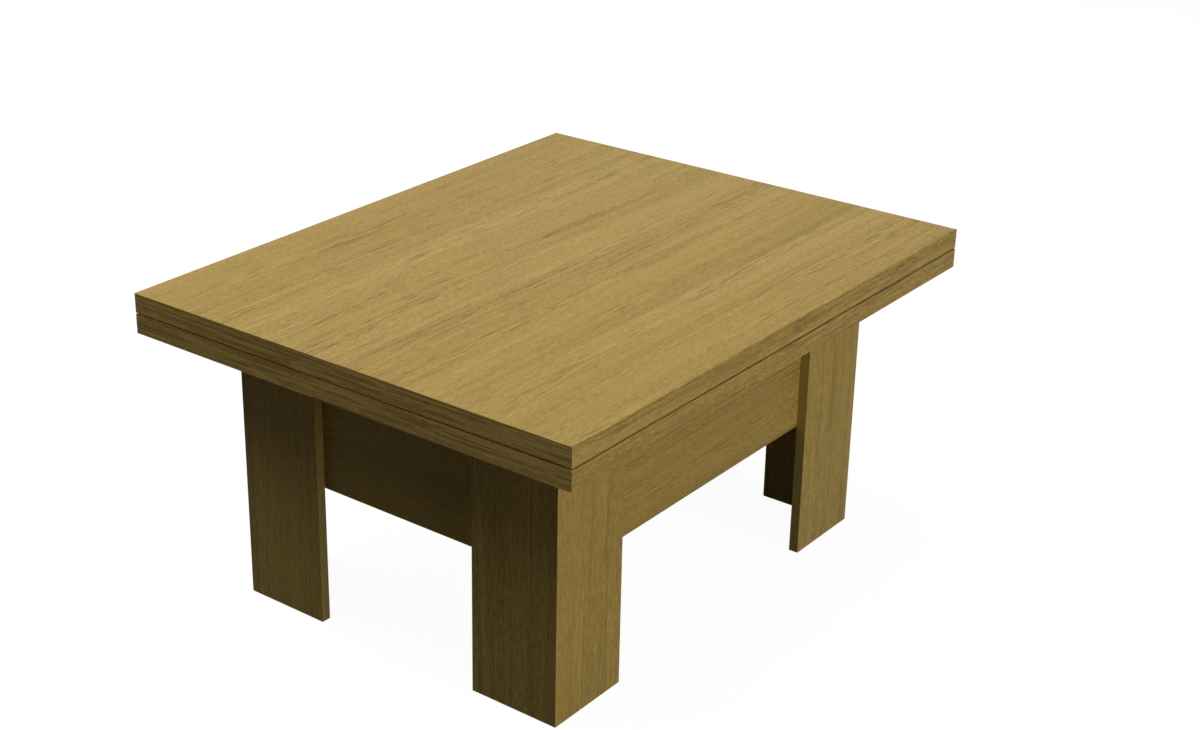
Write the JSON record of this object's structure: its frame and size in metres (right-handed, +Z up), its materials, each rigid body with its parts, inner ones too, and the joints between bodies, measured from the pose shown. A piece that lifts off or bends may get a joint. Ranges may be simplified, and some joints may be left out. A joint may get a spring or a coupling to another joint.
{
  "type": "extending dining table",
  "caption": "Low oak-laminate table on broad L-shaped board legs; its folded top rises on parallel arms and unfolds sideways into a long dining top.",
  "frame": {"origin": "on the floor under the middle of the folded top", "axes": "+X across the leaf hinges, which are on the -X edge; +Y along the hinges; +Z up"},
  "size_m": [0.8027, 1, 0.507],
  "materials": {
    "oak_leaf": "oak laminate, satin",
    "oak_edging": "oak edging, satin",
    "oak_leg": "oak laminate, satin",
    "oak_apron": "oak laminate, satin",
    "beech_dowel": "plain beech",
    "zinc_steel": "zinc plated",
    "nylon": "natural nylon",
    "coated_bracket": "black powder coat",
    "coated_bar": "black powder coat",
    "hinge_brass": "satin brass",
    "strut_black": "black paint",
    "strut_gland": "dark plastic",
    "strut_chrome": "hard chrome",
    "felt": "brown felt"
  },
  "bodies": {
    "base": {"front_left_leg_side_board": "oak_leg", "front_left_leg_face_board": "oak_leg", "front_right_leg_side_board": "oak_leg", "front_right_leg_face_board": "oak_leg", "back_right_leg_side_board": "oak_leg", "back_right_leg_face_board": "oak_leg", "back_left_leg_side_board": "oak_leg", "back_left_leg_face_board": "oak_leg", "front_apron": "oak_apron", "back_apron": "oak_apron", "left_apron": "oak_apron", "right_apron": "oak_apron", "leg_dowels": "beech_dowel", "leg_screws": "zinc_steel", "apron_screws": "zinc_steel", "rest_pads": "felt", "front_base_bracket": "coated_bracket", "back_base_bracket": "coated_bracket", "base_bracket_screws": "zinc_steel", "base_pivot_pins": "zinc_steel", "base_pivot_spacers": "nylon", "gas_spring_base_studs": "zinc_steel"},
    "drive_arms": {"front_drive_arm": "coated_bar", "back_drive_arm": "coated_bar", "drive_cross_tube": "coated_bar", "drive_arm_bushes": "nylon", "gas_spring_arm_studs": "zinc_steel"},
    "idler_arms": {"front_idler_arm": "coated_bar", "back_idler_arm": "coated_bar", "idler_cross_tube": "coated_bar", "idler_arm_bushes": "nylon"},
    "top": {"lower_leaf": "oak_leaf", "lower_leaf_edging": "oak_edging", "front_carrier_bracket": "coated_bracket", "back_carrier_bracket": "coated_bracket", "carrier_screws": "zinc_steel", "carrier_pivot_pins": "zinc_steel", "carrier_pivot_spacers": "nylon", "lower_hinge_plates": "hinge_brass", "hinge_pins": "hinge_brass", "lower_hinge_screws": "hinge_brass", "leaf_bumpers": "felt", "support_spacers": "nylon", "support_bolts": "zinc_steel"},
    "upper_leaf": {"upper_leaf": "oak_leaf", "upper_leaf_edging": "oak_edging", "upper_hinge_plates": "hinge_brass", "upper_hinge_screws": "hinge_brass"},
    "gas_cylinders": {"gas_spring_cylinders": "strut_black", "gas_spring_glands": "strut_gland", "gas_spring_base_eyes": "strut_black"},
    "gas_rods": {"gas_spring_rods": "strut_chrome", "gas_spring_arm_eyes": "strut_black"},
    "front_support": {"front_leaf_support": "coated_bar", "front_support_pad": "felt"},
    "back_support": {"back_leaf_support": "coated_bar", "back_support_pad": "felt"}
  },
  "joints": [
    {"name": "lift", "type": "hinge", "parent": "base", "child": "drive_arms", "pos_m": [0.216, 0, 0.418], "axis": [0, 1, 0], "range_deg": [0, 110.85]},
    {"name": "idler_arm_turn", "type": "hinge", "parent": "base", "child": "idler_arms", "pos_m": [0.05601, 0, 0.373], "axis": [0, 1, 0], "range_deg": [0, 110.85]},
    {"name": "top_level", "type": "hinge", "parent": "drive_arms", "child": "top", "pos_m": [-0.07901, 0, 0.418], "axis": [0, 1, 0], "range_deg": [-110.85, 0]},
    {"name": "gas_cylinder_turn", "type": "hinge", "parent": "base", "child": "gas_cylinders", "pos_m": [0.18226, 0, 0.27184], "axis": [0, 1, 0], "range_deg": [0, 55.42]},
    {"name": "gas_rod_turn", "type": "hinge", "parent": "drive_arms", "child": "gas_rods", "pos_m": [0.066, 0, 0.418], "axis": [0, 1, 0], "range_deg": [-55.42, 0]},
    {"name": "leaf_unfold", "type": "hinge", "parent": "top", "child": "upper_leaf", "pos_m": [-0.4005, 0, 0.4753], "axis": [0, -1, 0], "range_deg": [0, 180]},
    {"name": "front_support_swing", "type": "hinge", "parent": "top", "child": "front_support", "pos_m": [-0.35, -0.29, 0.4376], "axis": [0, 0, 1], "range_deg": [0, 90]},
    {"name": "back_support_swing", "type": "hinge", "parent": "top", "child": "back_support", "pos_m": [-0.35, 0.29, 0.4376], "axis": [0, 0, -1], "range_deg": [0, 90]}
  ],
  "couplings": [
    {"joint": "idler_arm_turn", "follows": "lift", "ratio": 1},
    {"joint": "top_level", "follows": "lift", "ratio": -1},
    {"joint": "gas_cylinder_turn", "follows": "lift", "ratio": 0.5},
    {"joint": "gas_rod_turn", "follows": "lift", "ratio": -0.5}
  ]
}
